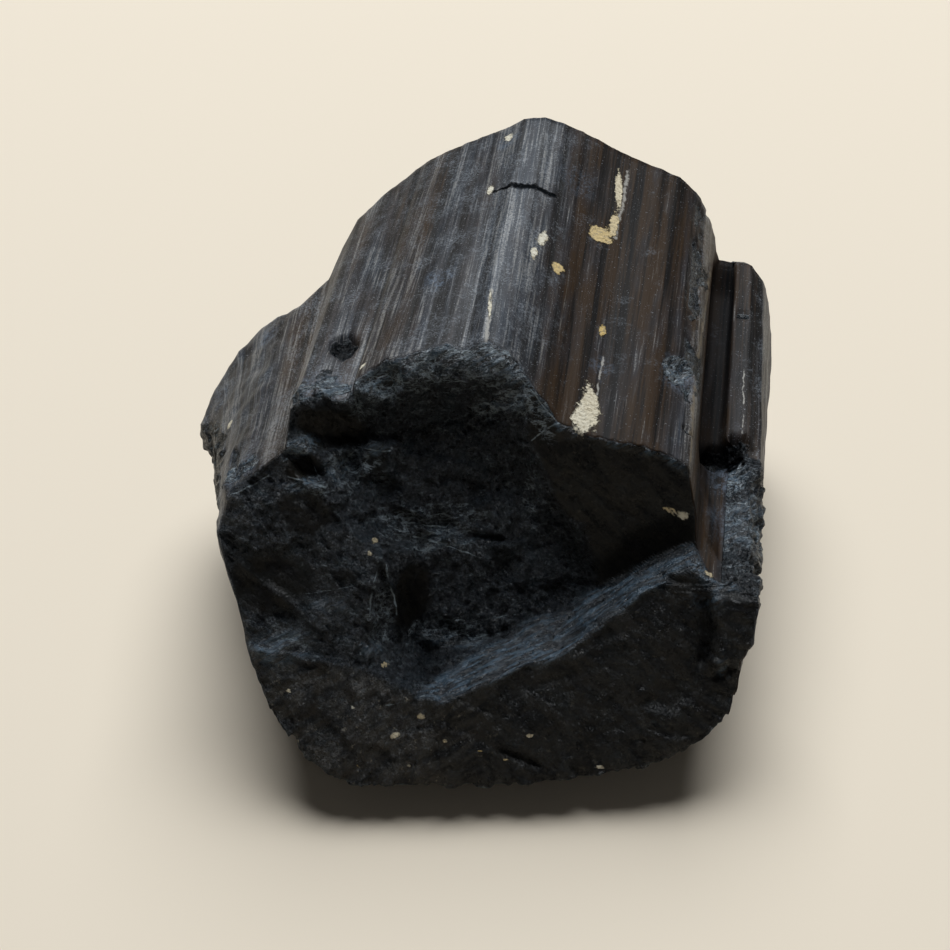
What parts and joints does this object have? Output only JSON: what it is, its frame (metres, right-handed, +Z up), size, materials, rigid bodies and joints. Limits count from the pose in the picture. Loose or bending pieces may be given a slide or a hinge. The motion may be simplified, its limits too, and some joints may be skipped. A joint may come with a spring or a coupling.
{
  "type": "tourmaline crystal",
  "caption": "Rough black tourmaline crystal lying on its side: long ribbed prism faces, a slanted hollow break at the front and side crystals grown along both flanks.",
  "frame": {"origin": "under the middle of the bounding box, at table height", "axes": "+Y along the prism's long axis, from the slanted front break to the rear break; +Z up; +X to the right seen from the front"},
  "size_m": [0.0476, 0.0568, 0.0282],
  "materials": {
    "schorl": "black with a blue-brown cast; ribbed prism faces satin to glossy, broken faces rough with small sparkling edges, a few cream crusts"
  },
  "bodies": {
    "root": {"tourmaline_crystal": "schorl"}
  },
  "joints": []
}
